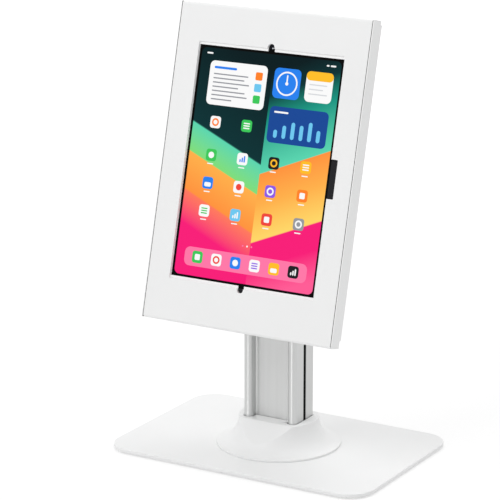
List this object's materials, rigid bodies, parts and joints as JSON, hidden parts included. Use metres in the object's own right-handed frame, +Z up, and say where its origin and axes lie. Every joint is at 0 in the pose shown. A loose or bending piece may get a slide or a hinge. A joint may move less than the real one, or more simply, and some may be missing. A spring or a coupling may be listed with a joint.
{
  "type": "tablet kiosk stand",
  "caption": "Countertop security kiosk stand: locking steel tablet head that tilts and turns on an extruded column over a flat base plate with a flared collar.",
  "frame": {"origin": "under the middle of the base plate, on the surface that the feet stand on", "axes": "+Z up, -Y towards the user, +X to the user's right"},
  "size_m": [0.3, 0.203, 0.4577],
  "materials": {
    "base_paint": "satin white powder coat",
    "head_paint": "satin white powder coat",
    "cover_paint": "satin white powder coat",
    "plate_paint": "satin white powder coat",
    "column_metal": "silver anodised, drawn lines along the length",
    "bracket_metal": "silver anodised",
    "knuckle_metal": "black, shot blasted",
    "collar_plastic": "white, fine moulded grain",
    "liner_plastic": "white, smooth",
    "holder_plastic": "black, moulded",
    "washer_plastic": "natural nylon",
    "fastener_steel": "zinc plated",
    "lock_chrome": "bright nickel plated",
    "foot_rubber": "black",
    "strip_rubber": "black, smooth extruded",
    "grommet_rubber": "black",
    "pad_foam": "dark grey closed-cell foam",
    "tablet_metal": "fine blasted and anodised",
    "screen_glass": "polished, black behind the border",
    "battery_foil": "black pouch film",
    "board_green": "solder mask"
  },
  "bodies": {
    "stand": {"base_plate": "base_paint", "base_feet": "foot_rubber", "column_screws": "fastener_steel", "column": "column_metal", "slot_strips": "strip_rubber", "column_collar": "collar_plastic", "pivot_bracket": "bracket_metal", "bracket_screws": "fastener_steel", "tilt_bolt": "fastener_steel", "tilt_nut": "fastener_steel", "tilt_washers": "washer_plastic"},
    "knuckle": {"tilt_knuckle": "knuckle_metal", "rotate_washer": "washer_plastic", "rotate_bolt": "fastener_steel", "rotate_spring": "fastener_steel"},
    "head": {"mounting_plate": "plate_paint", "plate_screws": "fastener_steel", "clinch_nuts": "fastener_steel", "rear_tray": "head_paint", "cable_grommet": "grommet_rubber", "hinge_pins": "fastener_steel", "lock_body": "lock_chrome", "lock_nut": "fastener_steel", "tablet_body": "tablet_metal", "tablet_screen": "screen_glass", "tablet_battery": "battery_foil", "tablet_board": "board_green", "foam_pads": "pad_foam", "corner_holders": "holder_plastic"},
    "cover": {"front_cover": "cover_paint", "cover_liner": "liner_plastic", "hinge_lugs": "fastener_steel", "lock_catch": "fastener_steel"},
    "lock": {"lock_plug": "lock_chrome", "lock_cam": "fastener_steel", "cam_screw": "fastener_steel"}
  },
  "joints": [
    {"name": "head_tilt", "type": "hinge", "parent": "stand", "child": "knuckle", "pos_m": [0, -0.01395, 0.29335], "axis": [-1, 0, 0], "range_deg": [-14.63, 45]},
    {"name": "head_rotate", "type": "hinge", "parent": "knuckle", "child": "head", "pos_m": [0, -0.02779, 0.29696], "axis": [0, -0.9676, 0.2526], "range_deg": [-90, 90]},
    {"name": "cover_hinge", "type": "hinge", "parent": "head", "child": "cover", "pos_m": [0, -0.08335, 0.1506], "axis": [1, 0, 0], "range_deg": [0, 100]},
    {"name": "lock_turn", "type": "hinge", "parent": "head", "child": "lock", "pos_m": [0, 0.00502, 0.43252], "axis": [0, -0.9676, 0.2526], "range_deg": [0, 90]}
  ]
}
